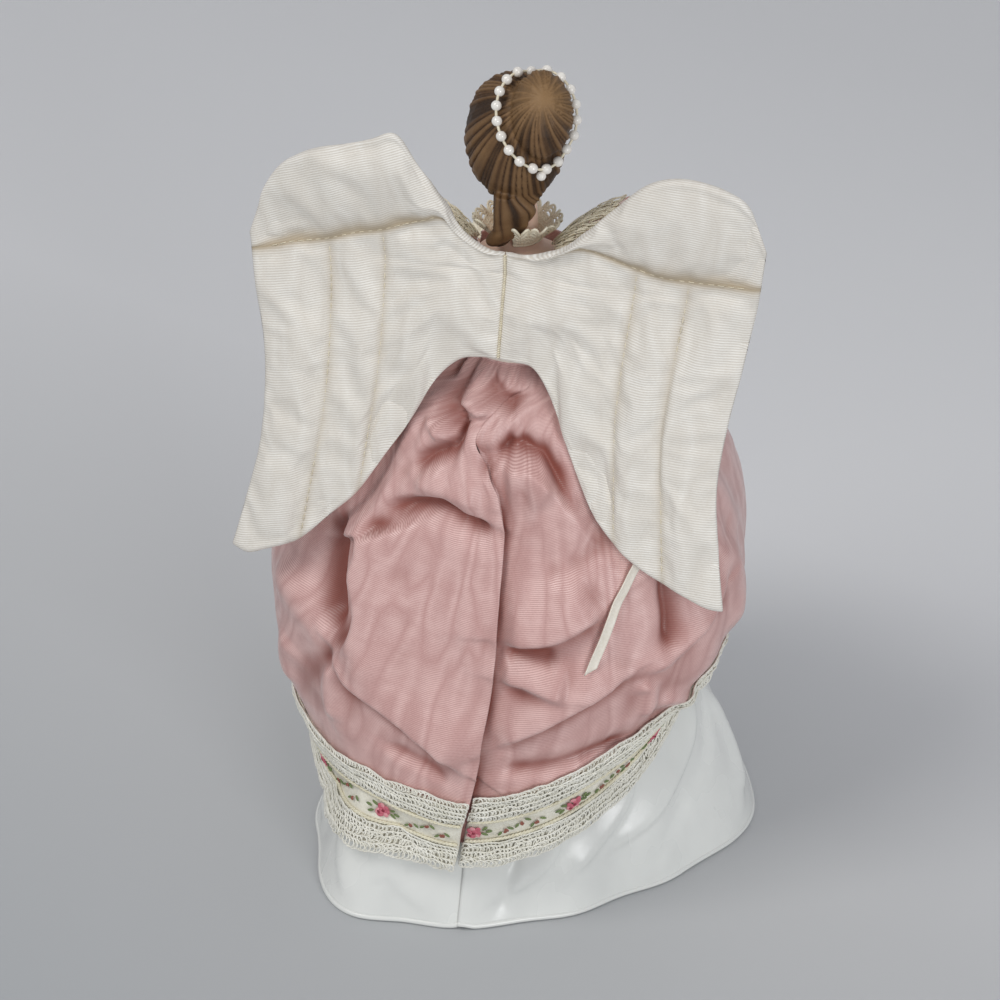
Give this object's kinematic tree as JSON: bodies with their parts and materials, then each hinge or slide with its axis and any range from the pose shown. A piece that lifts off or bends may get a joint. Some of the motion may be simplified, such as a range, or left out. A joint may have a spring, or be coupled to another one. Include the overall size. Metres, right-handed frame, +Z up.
{
  "type": "angel tree topper",
  "caption": "Standing angel tree topper: stuffed fabric wings, a puffed overskirt with woven trim over a flared satin underskirt, bisque head and hands, on a hollow cone for the tree tip.",
  "frame": {"origin": "middle of the base, where the cone's axis meets the surface that the object stands on", "axes": "+Z up; the figure faces -Y, so its wings are at +Y; its left side is +X"},
  "size_m": [0.1645, 0.153, 0.2755],
  "materials": {
    "cone_card": "matt pressed card",
    "torso_stuffing": "matt stuffed cloth",
    "petticoat_net": "stiff net",
    "underskirt_satin": "glossy satin",
    "overskirt_faille": "ribbed faille with a watered sheen",
    "woven_trim": "woven braid with rosebuds and looped edges",
    "satin_ribbon": "satin",
    "bisque_skin": "matt bisque",
    "painted_hair": "matt paint with moulded strands",
    "pearl_bead": "pearl coat",
    "crochet_lace": "crochet lace",
    "sheer_lace": "sheer lace",
    "steel_wire": "plain drawn wire",
    "wing_faille": "fine ribbed faille over stuffing"
  },
  "bodies": {
    "root": {"cone_core": "cone_card", "torso_form": "torso_stuffing", "petticoat": "petticoat_net", "underskirt": "underskirt_satin", "overskirt": "overskirt_faille", "hem_trim": "woven_trim", "waistband": "overskirt_faille", "waist_ribbon": "satin_ribbon", "ribbon_tail": "satin_ribbon", "bodice": "overskirt_faille", "bisque_head": "bisque_skin", "moulded_hair": "painted_hair", "pearl_strand": "pearl_bead", "neck_collar": "crochet_lace", "arm_wire": "steel_wire", "shoulder_ruffle_left": "sheer_lace", "shoulder_ruffle_right": "sheer_lace"},
    "left_wing": {"wing_left": "wing_faille"},
    "right_wing": {"wing_right": "wing_faille"},
    "left_arm": {"sleeve_left": "sheer_lace", "cuff_lace_left": "crochet_lace", "hand_left": "bisque_skin"},
    "right_arm": {"sleeve_right": "sheer_lace", "cuff_lace_right": "crochet_lace", "hand_right": "bisque_skin"}
  },
  "joints": [
    {"name": "wing_left_fold", "type": "hinge", "parent": "root", "child": "left_wing", "pos_m": [0, 0.025, 0.2055], "axis": [0, -0.2228, 0.9749], "range_deg": [0, 30], "stiffness_Nm_per_rad": 0.002},
    {"name": "wing_right_fold", "type": "hinge", "parent": "root", "child": "right_wing", "pos_m": [0, 0.025, 0.2055], "axis": [0, 0.2228, -0.9749], "range_deg": [0, 30], "stiffness_Nm_per_rad": 0.002},
    {"name": "left_arm_swing", "type": "hinge", "parent": "root", "child": "left_arm", "pos_m": [0.033, 0.0005, 0.208], "axis": [-1, 0, 0], "range_deg": [-12, 45]},
    {"name": "right_arm_swing", "type": "hinge", "parent": "root", "child": "right_arm", "pos_m": [-0.033, 0.0005, 0.214], "axis": [-1, 0, 0], "range_deg": [-12, 45]}
  ]
}
